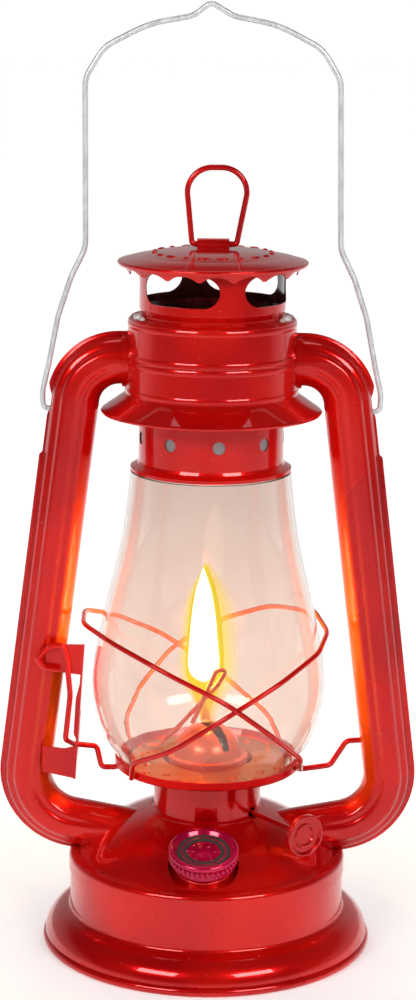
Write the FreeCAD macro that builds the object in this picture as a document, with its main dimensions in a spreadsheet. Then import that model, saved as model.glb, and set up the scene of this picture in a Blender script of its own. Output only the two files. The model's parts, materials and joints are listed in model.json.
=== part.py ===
import FreeCAD, Part
import Sketcher
import math
import os

from FreeCAD import Placement, Rotation, Vector

# Tubular wick lantern.  Millimetres, +Z up, front towards -Y.
# The origin is the centre of the ring that the lantern stands on.

doc = FreeCAD.newDocument("wick_lantern")

# ---------------------------------------------------------------- driving dimensions

DIMENSIONS = {
    "sheet_gauge": 0.5,
    "foot_radius": 60.0,
    "foot_bead_height": 3.3,
    "tank_radius": 49.9,
    "tank_base_height": 14.0,
    "tank_shoulder_height": 31.0,
    "dome_edge_radius": 46.6,
    "dome_edge_height": 34.6,
    "dome_bend": 50.0,
    "dome_top_radius": 21.0,
    "dome_top_height": 49.3,
    "drum_radius": 19.4,
    "drum_top_height": 65.2,
    "tube_radius": 8.6,
    "tube_gauge": 0.6,
    "tube_top_height": 214.0,
    "tube_top_reach": 46.1,
    "tube_elbow_reach": 67.4,
    "tube_elbow_height": 47.3,
    "tube_foot_reach": 22.0,
    "tube_foot_height": 38.8,
    "tube_top_bend": 15.7,
    "tube_low_bend": 19.6,
    "seam_reach": 10.3,
    "seam_gauge": 1.3,
    "hood_brim_radius": 39.0,
    "hood_brim_height": 196.0,
    "hood_radius": 30.5,
    "hood_top_radius": 29.4,
    "hood_top_height": 229.6,
    "flue_radius": 24.9,
    "crown_radius": 25.6,
    "skirt_base_height": 175.3,
    "cap_radius": 33.3,
    "cap_brim_height": 248.4,
    "cap_top_height": 253.2,
    "plate_radius": 33.6,
    "plate_height": 66.4,
    "globe_wall": 1.4,
    "shaft_offset": 6.6,
    "burner_turn": -53.6,
    "shaft_height": 51.4,
    "shaft_radius": 0.9,
    "knob_radius": 7.6,
    "knob_reach": 48.7,
    "filler_tilt": 17.0,
    "filler_reach": 39.5,
    "filler_height": 48.0,
    "filler_cap_radius": 12.4,
    "neck_radius": 9.4,
    "wire_radius": 1.0,
    "bail_pivot_height": 196.5,
    "bail_half_width": 44.0,
    "bail_top_height": 336.4,
    "lift_pivot_reach": 56.0,
    "lift_pivot_height": 75.8,
    "ring_pivot_height": 254.9,
    "ring_top_height": 281.2,
}

sheet = doc.addObject("Spreadsheet::Sheet", "dims")
for row, (alias, value) in enumerate(DIMENSIONS.items(), start=1):
    sheet.set(f"A{row}", alias)
    sheet.set(f"B{row}", str(value))
    sheet.setAlias(f"B{row}", alias)
doc.recompute()


class Size:
    """A length kept both as a number and as an expression over the sheet."""

    def __init__(self, number, text):
        self.number = number
        self.text = text

    def __add__(self, other):
        other = size(other)
        return Size(self.number + other.number, f"({self.text} + {other.text})")

    def __sub__(self, other):
        other = size(other)
        return Size(self.number - other.number, f"({self.text} - {other.text})")

    def __mul__(self, factor):
        return Size(self.number * factor, f"({self.text} * {factor:.6f})")


def size(value):
    """A Size from an alias of the sheet, a plain number or a Size."""
    if isinstance(value, Size):
        return value
    if isinstance(value, str):
        return Size(float(sheet.get(value)), f"dims.{value}")
    return Size(float(value), f"({float(value):.6f})")


def dim(alias):
    """The number in one named cell of the sheet."""
    return float(sheet.get(alias))


GAUGE = size("sheet_gauge")
nodes = {}


def keep(label, item):
    """Label an object and list it as one of the lantern's sub-parts."""
    item.Label = label
    nodes[label] = item
    return item


# ---------------------------------------------------------------- turned parts

def unit(x, z):
    length = math.hypot(x, z)
    return x / length, z / length


def arc_centre(start, end, bend):
    """Centre of the arc from start to end; it is on the left of the way if bend > 0."""
    half = math.hypot(end[0] - start[0], end[1] - start[1]) / 2
    left_x, left_z = unit(start[1] - end[1], end[0] - start[0])
    reach = math.copysign(math.sqrt(bend * bend - half * half), bend)
    return (start[0] + end[0]) / 2 + left_x * reach, (start[1] + end[1]) / 2 + left_z * reach


def end_tangents(start, end, bend):
    """Unit tangents of a segment at its two ends."""
    if bend is None:
        way = unit(end[0] - start[0], end[1] - start[1])
        return way, way
    centre = arc_centre(start, end, bend.number)
    turn = math.copysign(1.0, bend.number)
    ways = []
    for spot in (start, end):
        out_x, out_z = unit(spot[0] - centre[0], spot[1] - centre[1])
        ways.append((-out_z * turn, out_x * turn))
    return ways


def read_outline(outline):
    """Outline items (x, z) or (x, z, bend) as Sizes; bend belongs to the arc that follows."""
    return [(size(p[0]), size(p[1]), size(p[2]) if len(p) > 2 else None) for p in outline]


def solid_corners(outline):
    """Corners of a closed outline: the corner each is measured from, its place, its bend."""
    return [(None, x, z, bend) for x, z, bend in read_outline(outline)]


def shell_corners(outline, wall):
    """Corners of an open outline closed by its own copy, one wall to the left of the way."""
    points = read_outline(outline)
    spots = [(x.number, z.number) for x, z, bend in points]
    last = len(points) - 1
    tangents = [end_tangents(spots[i], spots[i + 1], points[i][2]) for i in range(last)]
    corners = [(None, x, z, bend) for x, z, bend in points]
    corners[last] = (None, points[last][0], points[last][1], None)
    for i in range(last, -1, -1):
        before = tangents[max(i - 1, 0)][0 if i == 0 else 1]
        after = tangents[min(i, last - 1)][1 if i == last else 0]
        share = 1 + before[0] * after[0] + before[1] * after[1]
        shift_x = -(before[1] + after[1]) / share
        shift_z = (before[0] + after[0]) / share
        if spots[i][0] == 0:
            shift_x = 0.0
        bend = points[i - 1][2] if i > 0 else None
        if bend is not None:
            bend = (bend - wall) * -1.0
        corners.append((i, wall * shift_x, wall * shift_z, bend))
    return corners


def fix_distance(sketch, kind, first, second, gap):
    """Bind the signed distance between two sketch points to an expression."""
    if abs(gap.number) < 1e-6:
        level = "Vertical" if kind == "DistanceX" else "Horizontal"
        sketch.addConstraint(Sketcher.Constraint(level, *first, *second))
        return
    if gap.number < 0:
        first, second, gap = second, first, gap * -1.0
    index = sketch.addConstraint(Sketcher.Constraint(kind, *first, *second, gap.number))
    sketch.setExpression(f"Constraints[{index}]", gap.text)


def draw_corners(sketch, corners):
    """Draw a closed outline and fix each corner and each arc's radius."""
    spots = []
    for origin, x, z, bend in corners:
        base = (0.0, 0.0) if origin is None else spots[origin]
        spots.append((base[0] + x.number, base[1] + z.number))
    starts = []
    ends = []
    for i, (origin, x, z, bend) in enumerate(corners):
        here = spots[i]
        there = spots[(i + 1) % len(spots)]
        if bend is None:
            line = Part.LineSegment(Vector(here[0], here[1], 0), Vector(there[0], there[1], 0))
            index = sketch.addGeometry(line, False)
            starts.append((index, 1))
            ends.append((index, 2))
            continue
        centre = arc_centre(here, there, bend.number)
        first, second = (here, there) if bend.number > 0 else (there, here)
        from_angle = math.atan2(first[1] - centre[1], first[0] - centre[0])
        to_angle = math.atan2(second[1] - centre[1], second[0] - centre[0])
        circle = Part.Circle(Vector(centre[0], centre[1], 0), Vector(0, 0, 1), abs(bend.number))
        index = sketch.addGeometry(Part.ArcOfCircle(circle, from_angle, to_angle), False)
        starts.append((index, 1 if bend.number > 0 else 2))
        ends.append((index, 2 if bend.number > 0 else 1))
        radius = bend if bend.number > 0 else bend * -1.0
        mark = sketch.addConstraint(Sketcher.Constraint("Radius", index, radius.number))
        sketch.setExpression(f"Constraints[{mark}]", radius.text)
    for i in range(len(corners)):
        following = starts[(i + 1) % len(starts)]
        sketch.addConstraint(Sketcher.Constraint("Coincident", *ends[i], *following))
    for i, (origin, x, z, bend) in enumerate(corners):
        anchor = (-1, 1) if origin is None else starts[origin]
        fix_distance(sketch, "DistanceX", anchor, starts[i], x)
        fix_distance(sketch, "DistanceY", anchor, starts[i], z)


def sketch_body(name, role, corners):
    """A body with one closed sketch on one of its own origin planes."""
    body = doc.addObject("PartDesign::Body", name)
    sketch = body.newObject("Sketcher::SketchObject", f"{name}_outline")
    plane = [item for item in body.Origin.OriginFeatures if item.Role == role][0]
    sketch.AttachmentSupport = (plane, [""])
    sketch.MapMode = "FlatFace"
    draw_corners(sketch, corners)
    return body, sketch


def turned(name, corners, place=None):
    """A body turned about its own Z axis from an outline in its XZ plane."""
    body, sketch = sketch_body(name, "XZ_Plane", corners)
    turn = body.newObject("PartDesign::Revolution", f"{name}_turn")
    turn.Profile = sketch
    turn.ReferenceAxis = (sketch, ["V_Axis"])
    turn.Angle = 360.0
    if place is not None:
        body.Placement = place
    return body


def turned_shell(name, outline, wall=GAUGE, place=None):
    return turned(name, shell_corners(outline, wall), place)


def turned_solid(name, outline, place=None):
    return turned(name, solid_corners(outline), place)


# ---------------------------------------------------------------- primitives and cuts

UP = Vector(0, 0, 1)


def facing(spot, way):
    """A placement at a spot whose Z axis points along a way."""
    return Placement(spot, Rotation(UP, way))


def bind(item, prop, value):
    """Set a property to a plain number, or bind it to the sheet."""
    if isinstance(value, (int, float)):
        setattr(item, prop, float(value))
    else:
        item.setExpression(prop, size(value).text)


def cylinder(name, radius, height, place=Placement()):
    item = doc.addObject("Part::Cylinder", name)
    bind(item, "Radius", radius)
    bind(item, "Height", height)
    item.Placement = place
    return item


def block(name, length, width, height, place=Placement()):
    """A box centred on its placement in X and Y that rises from it along Z."""
    item = doc.addObject("Part::Box", name)
    bind(item, "Length", length)
    bind(item, "Width", width)
    bind(item, "Height", height)
    corner = Vector(-size(length).number / 2, -size(width).number / 2, 0)
    item.Placement = place.multiply(Placement(corner, Rotation()))
    return item


def joined(name, items):
    if len(items) == 1:
        return items[0]
    item = doc.addObject("Part::MultiFuse", name)
    item.Shapes = items
    return item


def cut(name, base, tools):
    item = doc.addObject("Part::Cut", name)
    item.Base = base
    item.Tool = joined(f"{name}_tools", tools)
    return item


def feature(name, shape):
    """A shape made directly, for pieces that no primitive or sketch fits."""
    item = doc.addObject("Part::Feature", name)
    item.Shape = shape
    return item


# ---------------------------------------------------------------- bent wire and tube

def route(corners, closed=False):
    """Straight runs joined by tangent arcs; each corner is (x, y, z, bend radius)."""
    spots = [Vector(*corner[:3]) for corner in corners]
    count = len(spots)
    ends = []
    arcs = []
    for i, corner in enumerate(corners):
        bend = corner[3] if len(corner) > 3 else 0.0
        if bend == 0.0 or (not closed and i in (0, count - 1)):
            ends.append((spots[i], spots[i]))
            arcs.append(None)
            continue
        arrive = (spots[i] - spots[i - 1]).normalize()
        leave = (spots[(i + 1) % count] - spots[i]).normalize()
        half_turn = arrive.getAngle(leave) / 2
        back = bend * math.tan(half_turn)
        first = spots[i] - arrive * back
        second = spots[i] + leave * back
        inward = (leave - arrive).normalize()
        middle = spots[i] + inward * (bend / math.cos(half_turn) - bend)
        ends.append((first, second))
        arcs.append(Part.Arc(first, middle, second).toShape())
    edges = []
    for i in range(count):
        if arcs[i] is not None:
            edges.append(arcs[i])
        if i == count - 1 and not closed:
            break
        start = ends[i][1]
        end = ends[(i + 1) % count][0]
        if (end - start).Length > 1e-4:
            edges.append(Part.LineSegment(start, end).toShape())
    return Part.Wire(edges)


def swept(path, profile):
    return path.makePipeShell([profile], True, False)


def round_bar(path, radius):
    """A round bar along a route."""
    first = path.OrderedEdges[0]
    start = first.valueAt(first.FirstParameter)
    way = first.tangentAt(first.FirstParameter)
    if first.Orientation == "Reversed":
        start = first.valueAt(first.LastParameter)
        way = first.tangentAt(first.LastParameter) * -1
    profile = Part.Wire([Part.Circle(start, way, radius).toShape()])
    return swept(path, profile)


def bent_wire(label, corners, radius=None, closed=False):
    """A sub-part of bent wire, with its volume compared with section times length."""
    radius = dim("wire_radius") if radius is None else radius
    path = route(corners, closed)
    shape = round_bar(path, radius)
    ratio = shape.Volume / (math.pi * radius ** 2 * path.Length)
    print(f"{label}: length {path.Length:.1f}, volume ratio {ratio:.4f}")
    return keep(label, feature(f"{label}_bar", shape))

# ---------------------------------------------------------------- fount

tank = size("tank_radius")
foot = size("foot_radius")
base = size("tank_base_height")
bead = size("foot_bead_height")
keep("fount_shell", turned_solid("fount_shell", [
    (foot - 2.7, 0),
    (foot - 1.35, 0, 1.7),
    (foot - 1.35, bead),
    (foot - 1.0, bead + 0.4, 10.0),
    (tank + 1.3, base - 1.6, -1.8),
    (tank, base + 0.2),
    (tank, "tank_shoulder_height"),
    (tank - GAUGE, "tank_shoulder_height"),
    (tank - GAUGE, base + 0.2, 2.3),
    (tank + 0.95, base - 2.0, -9.5),
    (foot - 1.7, bead + 0.3),
    (foot - 2.7, bead - 0.6),
]))

keep("fount_floor", turned_shell("fount_floor", [
    (0, base),
    (tank - 3.4, base),
    (tank - 1.0, base + 2.4),
    (tank - 1.0, base + 4.0),
]))

filler_place = Placement(
    Vector(-1.0, -dim("filler_reach"), dim("filler_height")),
    Rotation(Vector(1, 0, 0), dim("filler_tilt")))


def on_filler(height):
    """A placement on the filler's tilted axis, at a height over the cap's top."""
    return filler_place.multiply(Placement(Vector(0, 0, height), Rotation()))


keep("air_chamber_floor", cut("air_chamber_floor_cut", turned_shell("air_chamber_floor_blank", [
    (tank - 0.9, 29.6),
    (tank - 2.2, 31.2),
    (16.0, 35.6),
    (12.8, 36.4),
]), [cylinder("neck_way_low", size("neck_radius") + 0.1, 40.0, on_filler(-30.0))]))

dome_edge = (size("dome_edge_radius"), size("dome_edge_height"), size("dome_bend"))
dome_top = (size("dome_top_radius"), size("dome_top_height"))
shoulder = [(tank + 0.5, 27.8), (tank + 0.5, 31.9, 2.2), (tank - 1.6, 34.1)]


def revolve_solid(points):
    """A full turn of a closed outline; a middle point makes the run into it an arc."""
    edges = []
    for i, point in enumerate(points):
        start = Vector(point[0], 0, point[1])
        after = points[(i + 1) % len(points)]
        end = Vector(after[0], 0, after[1])
        if len(point) > 2:
            centre = arc_centre(point[:2], after[:2], point[2])
            away = unit((point[0] + after[0]) / 2 - centre[0], (point[1] + after[1]) / 2 - centre[1])
            top = Vector(centre[0] + away[0] * abs(point[2]), 0, centre[1] + away[1] * abs(point[2]))
            edges.append(Part.Arc(start, top, end).toShape())
        else:
            edges.append(Part.LineSegment(start, end).toShape())
    face = Part.Face(Part.Wire(edges))
    return face.revolve(Vector(0, 0, 0), UP, 360)


dome_solid = revolve_solid([
    (0, 25),
    (dim("tank_radius") + 0.5, 25),
    (dim("tank_radius") + 0.5, 31.9),
    (dim("tank_radius") - 1.6, 34.1),
    (dim("dome_edge_radius"), dim("dome_edge_height"), dim("dome_bend")),
    (dim("dome_top_radius"), dim("dome_top_height")),
    (0, dim("dome_top_height")),
])
hood = size("hood_radius")
hood_top = size("hood_top_radius")
hood_z = size("hood_top_height")
brim = size("hood_brim_radius")
brim_low = size("hood_brim_height")
hood_outline = [
    (brim - 0.3, brim_low),
    (brim, brim_low + 0.6),
    (brim - 0.6, brim_low + 1.2),
    (hood + 1.0, brim_low + 6.0),
    (hood, brim_low + 7.0),
    (hood - 0.2, brim_low + 16.8),
    (hood + 0.1, brim_low + 17.4),
    (hood + 0.1, brim_low + 18.2),
    (hood - 0.3, brim_low + 18.8),
    (hood - 0.3, brim_low + 19.2),
    (hood, brim_low + 19.8),
    (hood, brim_low + 20.4),
    (hood - 0.4, brim_low + 21.0),
    (hood_top, hood_z - 0.8),
    (hood_top - 0.8, hood_z),
]
hood_gap = 0.03
hood_solid = revolve_solid(
    [(0, dim("hood_brim_height"))]
    + [(radius.number + hood_gap, height.number) for radius, height in hood_outline]
    + [(0, dim("hood_top_height"))])


# ---------------------------------------------------------------- side tubes

def tube_route(side):
    return route([
        (side * 26.0, 0, dim("tube_top_height")),
        (side * dim("tube_top_reach"), 0, dim("tube_top_height"), dim("tube_top_bend")),
        (side * dim("tube_elbow_reach"), 0, dim("tube_elbow_height"), dim("tube_low_bend")),
        (side * dim("tube_foot_reach"), 0, dim("tube_foot_height")),
    ])


def seam_fin(side, path):
    """The folded seam that stands along the outer edge of a side tube."""
    half = dim("seam_gauge") / 2
    low = dim("tube_top_height") + dim("tube_radius") - 0.9
    high = dim("tube_top_height") + dim("seam_reach")
    x = side * 26.0
    corners = [Vector(x, y, z) for y, z in ((-half, low), (half, low), (half, high), (-half, high))]
    profile = Part.makePolygon(corners + corners[:1])
    return swept(path, profile)


bores = {}
pivot_z = dim("bail_pivot_height")
for side, name in ((-1, "left"), (1, "right")):
    path = tube_route(side)
    bore = round_bar(path, dim("tube_radius") - dim("tube_gauge"))
    bores[name] = feature(f"tube_bore_{name}", bore)
    fin = seam_fin(side, path)
    notch = Part.makeBox(10, 6, 13, Vector(-5 + side * 60.5, -3, pivot_z - 7))
    outwards = Vector(side, 0, 0)
    hole_radius = dim("wire_radius") + 0.35
    bail_hole = Part.makeCylinder(hole_radius, 10, outwards * 50 + UP * pivot_z, outwards)
    tube = round_bar(path, dim("tube_radius")).fuse(fin.cut(notch)).cut(bore)
    tube = tube.cut(hood_solid).cut(dome_solid).cut(bail_hole)
    if side > 0:
        lift_hole = Part.makeCylinder(1.9, 10, Vector(50, 0, dim("lift_pivot_height")), outwards)
        tube = tube.cut(lift_hole)
    biggest = max(tube.Solids, key=lambda solid: solid.Volume)
    keep(f"side_tube_{name}", feature(f"side_tube_{name}_pressing", biggest.removeSplitter()))
    ring_foot = outwards * 25.4 + UP * dim("tube_top_height")
    ring = Part.makeCylinder(9.4, 6, ring_foot, outwards)
    ring = ring.cut(Part.makeCylinder(8.62, 6, ring_foot, outwards)).cut(hood_solid).cut(fin)
    biggest = max(ring.Solids, key=lambda solid: solid.Volume)
    keep(f"tube_socket_{name}", feature(f"tube_socket_{name}_ring", biggest))

# ---------------------------------------------------------------- filler

pocket_radius = 12.9
pocket_floor = -10.4
pocket = cylinder("filler_pocket", pocket_radius, 40.0, on_filler(pocket_floor - 0.5))
neck_way = cylinder("neck_way", size("neck_radius") + 0.1, 16.0, on_filler(-16.0))
keep("fount_top", cut("fount_top_cut", turned_shell("fount_top_blank", shoulder + [
    dome_edge,
    dome_top,
    (18.2, "dome_top_height"),
]), [pocket, neck_way, bores["left"], bores["right"]]))

cup = Part.makeCylinder(pocket_radius, 40, Vector(0, 0, pocket_floor - 0.5))
cup = cup.cut(Part.makeCylinder(pocket_radius - 0.5, 40, Vector(0, 0, pocket_floor)))
cup = cup.cut(Part.makeCylinder(dim("neck_radius") + 0.05, 10, Vector(0, 0, pocket_floor - 5)))
cup.Placement = filler_place
cup = cup.common(dome_solid)
keep("filler_seat", feature("filler_seat_pressing", max(cup.Solids, key=lambda solid: solid.Volume)))

neck = size("neck_radius")
keep("filler_neck", turned_solid("filler_neck", [
    (neck - 0.6, -24.0),
    (neck, -24.0),
    (neck, -9.0),
    (neck + 0.7, -8.7, 0.5),
    (neck + 0.7, -7.8),
    (neck, -7.5),
    (neck, -2.1),
    (neck - 0.6, -2.1),
], on_filler(0)))

keep("filler_gasket", cut("filler_gasket_cut",
     cylinder("gasket_disc", neck, 0.5, on_filler(-2.05)),
     [cylinder("gasket_bore", neck - 3.4, 2.0, on_filler(-3.0))]))

cap_edge = size("filler_cap_radius")
keep("filler_cap", turned_shell("filler_cap", [
    (neck + 0.5, -6.7),
    (cap_edge - 0.6, -6.3),
    (cap_edge, -5.7),
    (cap_edge, -1.2, 1.2),
    (cap_edge - 1.2, 0),
    (cap_edge - 2.9, 0),
    (cap_edge - 3.3, -0.9),
    (3.6, -0.9),
    (0, -0.5),
], wall=size(0.6), place=on_filler(0)))

# ---------------------------------------------------------------- burner

turn_angle = math.radians(dim("burner_turn"))
along = Vector(math.cos(turn_angle), math.sin(turn_angle), 0)
across = Vector(-along.y, along.x, 0)
shaft_foot = across * dim("shaft_offset") + Vector(0, 0, dim("shaft_height"))
wick_turn = Rotation(UP, dim("burner_turn"))


def on_wick(height):
    """A placement on the lamp's axis at a height, turned with the wick."""
    return Placement(Vector(0, 0, height), wick_turn)


keep("burner_socket", turned_solid("burner_socket", [
    (11.7, 34.0),
    (12.6, 34.0),
    (12.6, 40.2),
    (11.7, 40.2),
]))

keep("burner_plug", cut("burner_plug_cut", turned_solid("burner_plug_blank", [
    (0, 36.0),
    (11.6, 36.0),
    (11.6, 40.3),
    (13.2, 40.3),
    (13.2, 41.2),
    (0, 41.2),
]), [block("plug_slot", 18.1, 3.5, 20.0, on_wick(30.0))]))

drum = size("drum_radius")
drum_top = size("drum_top_height")
drum_blank = turned_shell("burner_drum_blank", [
    (drum + 1.6, size("dome_top_height") + 0.5),
    (drum + 0.4, size("dome_top_height") + 0.5),
    (drum, size("dome_top_height") + 0.9),
    (drum, drum_top - 0.8, 0.8),
    (drum - 0.8, drum_top),
    (15.4, drum_top),
])
keep("burner_drum", cut("burner_drum_cut", drum_blank, [
    cylinder("shaft_hole", 1.9, 12.0, facing(shaft_foot + along * 14.0, along)),
]))

gallery_holes = []
for i in range(16):
    angle = math.radians(22.5 * i + 11.25)
    spot = Vector(15.6 * math.cos(angle), 15.6 * math.sin(angle), 59.0)
    gallery_holes.append(cylinder(f"gallery_hole_{i}", 1.5, 3.0, Placement(spot, Rotation())))
keep("air_gallery", cut("air_gallery_cut", turned_solid("air_gallery_blank", [
    (0, 60.0),
    (drum - 0.55, 60.0),
    (drum - 0.55, 60.5),
    (0, 60.5),
]), gallery_holes + [block("gallery_slot", 18.4, 3.8, 3.0, on_wick(59.0))]))

wheel_slots = [
    block(f"wheel_slot_{i}", 1.6, 2.0, 6.0,
          on_wick(dim("shaft_height") - 3.0).multiply(Placement(Vector(reach, 1.8, 0), Rotation())))
    for i, reach in enumerate((-4.0, 4.0))
]
keep("wick_tube", cut("wick_tube_cut", block("wick_tube_blank", 18.0, 3.4, 45.0, on_wick(30.0)),
     [block("wick_way", 17.2, 2.6, 60.0, on_wick(20.0))] + wheel_slots))
keep("wick", block("wick_ribbon", 16.0, 1.8, 53.0, on_wick(24.0)))

shaft_pieces = [cylinder("shaft_rod", "shaft_radius", size("knob_reach") + 7.0,
                         facing(shaft_foot - along * 8.0, along))]
for i, reach in enumerate((-4.0, 4.0)):
    wheel_place = facing(shaft_foot + along * (reach - 0.4), along)
    shaft_pieces.append(cylinder(f"spur_wheel_{i}", 5.4, 0.8, wheel_place))
keep("wick_shaft", joined("wick_shaft_pieces", shaft_pieces))

knob = size("knob_radius")
keep("wick_knob", turned_solid("wick_knob", [
    (0, -1.0),
    (2.2, -1.0),
    (2.2, -0.3),
    (knob - 1.4, -0.3),
    (knob - 1.0, -0.7),
    (knob, -0.4),
    (knob, 0.7, 0.55),
    (knob - 0.9, 1.1),
    (knob - 1.7, 0.4),
    (4.6, 0.4),
    (4.2, 0.9),
    (3.6, 0.9),
    (3.2, 0.3),
    (0, 0.3),
], facing(shaft_foot + along * dim("knob_reach"), along)))

slot_face = Part.Face(Part.Wire([Part.Ellipse(Vector(0, 0, 73.6), 13.3, 2.5).toShape()]))
slot_tool = slot_face.extrude(Vector(0, 0, 20))
slot_tool.Placement = Placement(Vector(), wick_turn)
keep("burner_cone", cut("burner_cone_cut", turned_shell("burner_cone_blank", [
    (14.6, 65.7),
    (14.6, 69.6),
    (12.7, 70.1),
    (12.1, 72.3, 12.6),
    (4.0, 81.1),
    (0, 81.6),
], wall=size(0.4)), [feature("cone_slot", slot_tool)]))

# ---------------------------------------------------------------- globe carrier

plate = size("plate_radius")
plate_z = size("plate_height")
punched = []
for i in range(24):
    angle = math.radians(15 * i + 7.5)
    reach = 22.6 if i % 2 else 26.2
    spot = Vector(reach * math.cos(angle), reach * math.sin(angle), dim("plate_height"))
    punched.append(cylinder(f"plate_hole_{i}", 0.9, 6.0, Placement(spot, Rotation())))
keep("globe_plate", cut("globe_plate_cut", turned_shell("globe_plate_blank", [
    (16.2, plate_z - 0.5),
    (16.9, plate_z + 1.5),
    (28.0, plate_z + 1.5),
    (29.1, plate_z),
    (plate - 0.9, plate_z, 0.9),
    (plate, plate_z + 0.9),
    (plate, plate_z + 3.2),
]), punched))

GLOBE_PROFILE = [
    (31.0, 66.95), (32.5, 69.7), (37.1, 76.9), (40.7, 87.0), (41.9, 99.0), (39.5, 115.5),
    (36.0, 131.1), (32.4, 146.5), (29.9, 162.0), (28.5, 174.9),
]


def globe_shape(wall):
    """The blown glass chimney: a smooth outline offset inwards by the wall."""
    outer = [Vector(x, 0, z) for x, z in GLOBE_PROFILE]
    curve = Part.BSplineCurve()
    curve.interpolate(outer)
    inner = []
    for spot in outer:
        way = curve.tangent(curve.parameter(spot))[0]
        inner.append(spot + Vector(-way.z, 0, way.x) * wall)
    inner[0].z = outer[0].z
    inner[-1].z = outer[-1].z
    back = Part.BSplineCurve()
    back.interpolate(inner[::-1])
    edges = [
        curve.toShape(),
        Part.LineSegment(outer[-1], inner[-1]).toShape(),
        back.toShape(),
        Part.LineSegment(inner[0], outer[0]).toShape(),
    ]
    return Part.Face(Part.Wire(edges)).revolve(Vector(0, 0, 0), UP, 360)


keep("globe", feature("globe_glass", globe_shape(dim("globe_wall"))))

pivot_x = dim("lift_pivot_reach")
pivot_h = dim("lift_pivot_height")
under = dim("plate_height") + 0.35
bent_wire("lift_wire", [
    (pivot_x + 5.0, 0, pivot_h + 0.2),
    (50.3, 0, pivot_h - 0.6, 3.0),
    (44.6, 0, 65.9, 3.0),
    (34.0, 0, 64.3, 6.0),
    (24.5, 0, under, 1.6),
    (24.5, -24.5, under, 22.0),
    (-24.5, -24.5, under, 22.0),
    (-24.5, 0, under, 1.6),
    (-34.0, 0, 64.3, 6.0),
    (-38.6, 0, 64.3, 1.8),
    (-40.3, 0, 72.2, 2.4),
    (-48.6, -4.6, 74.4, 2.6),
    (-51.0, -12.2, 78.4, 2.6),
    (-49.2, -12.2, 95.0, 16.0),
    (-50.4, -12.2, 108.0, 6.0),
    (-52.0, -12.2, 113.6, 2.0),
    (-57.0, -12.2, 112.6, 2.0),
    (-61.0, -12.2, 108.4, 1.4),
    (-58.6, -12.2, 105.0, 1.4),
    (-52.8, -12.2, 104.2),
])

bent_wire("guard_wire_left", [
    (33.5, -9.2, 67.2),
    (33.0, -22.3, 75.4, 14.0),
    (23.2, -39.4, 88.2, 22.0),
    (6.2, -46.8, 102.6, 26.0),
    (-14.5, -44.6, 112.6, 26.0),
    (-33.5, -31.8, 119.6, 22.0),
    (-44.6, -11.5, 121.2, 20.0),
    (-45.2, 9.0, 121.0, 20.0),
    (-36.0, 28.4, 114.6, 22.0),
    (-18.3, 44.4, 103.4, 24.0),
    (3.6, 44.6, 88.4, 24.0),
    (23.0, 32.8, 75.0, 18.0),
    (28.4, 20.0, 67.4),
], radius=0.9)

bent_wire("guard_wire_right", [
    (-27.0, -21.8, 67.2),
    (-26.2, -29.4, 75.4, 8.0),
    (-12.5, -41.8, 83.8, 22.0),
    (6.5, -45.8, 97.4, 26.0),
    (25.0, -38.4, 107.6, 24.0),
    (38.6, -20.4, 113.6, 18.0),
    (42.6, -2.0, 116.6, 18.0),
    (38.2, 18.2, 119.6, 20.0),
    (24.0, 37.6, 116.4, 22.0),
    (3.0, 46.0, 108.0, 24.0),
    (-14.8, 43.4, 97.6, 22.0),
    (-26.4, 35.2, 84.8, 16.0),
    (-32.0, 24.4, 74.4, 10.0),
    (-30.1, 17.4, 67.2),
], radius=0.9)

bent_wire("cone_catch_wire", [
    (-22.0, 9.5, 69.35),
    (-18.0, 8.6, 70.0, 2.0),
    (-9.8, 3.0, 80.0, 6.0),
    (-3.2, -3.4, 89.4, 8.0),
    (3.6, -7.0, 98.2, 5.0),
    (7.0, -7.2, 104.4, 1.3),
    (2.7, -7.9, 103.2, 1.3),
    (-2.2, -6.4, 91.0, 6.0),
    (-5.6, -3.2, 82.4),
], radius=0.8)

clip_corners = [(-2.1, 83.2), (0.8, 83.2), (0.2, 86.0), (-0.9, 90.0), (-1.9, 90.4), (-2.2, 86.0)]
clip_wire = Part.makePolygon([Vector(x, -1.7, z) for x, z in clip_corners + clip_corners[:1]])
keep("cone_clip", feature("cone_clip_plate", Part.Face(clip_wire).extrude(Vector(0, 0.6, 0))))

# ---------------------------------------------------------------- lift guide

guide_gauge = 0.8
guide_front = -10.0


def guide_plate(corners, shift):
    """A flat plate from its corners, one gauge thick along a shift."""
    return Part.Face(Part.makePolygon(corners + corners[:1])).extrude(shift)


strip_outline = [(guide_front, 0), (5.0, -3.6), (5.0, -50.3), (guide_front, -50.3)]
guide = guide_plate([Vector(-0.4, y, z) for y, z in strip_outline], Vector(guide_gauge, 0, 0))
guide = guide.cut(Part.makeBox(4, 5.6, 17.0, Vector(-2, -7.0, -42.6)))
guide.Placement = Placement(Vector(-44.6, 0, 113.0), Rotation(Vector(0, 1, 0), 3.8))
arm_top = [(-58.0, 113.0), (-44.3, 113.0), (-45.0, 101.8), (-58.0, 103.4)]
arm_low = [(-59.4, 75.2), (-51.6, 74.2), (-47.0, 75.2), (-47.7, 63.0), (-59.4, 65.6)]
blade = [(-44.9, 102.6), (-47.4, 93.0), (-48.2, 80.0), (-46.8, 76.4)]
front_plates = [
    guide_plate([Vector(x, guide_front, z) for x, z in outline], Vector(0, guide_gauge, 0))
    for outline in (arm_top, arm_low, blade)
]
guide = guide.fuse(front_plates).removeSplitter()
keep("lift_guide", feature("lift_guide_pressing", guide))

# ---------------------------------------------------------------- chimney

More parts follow.
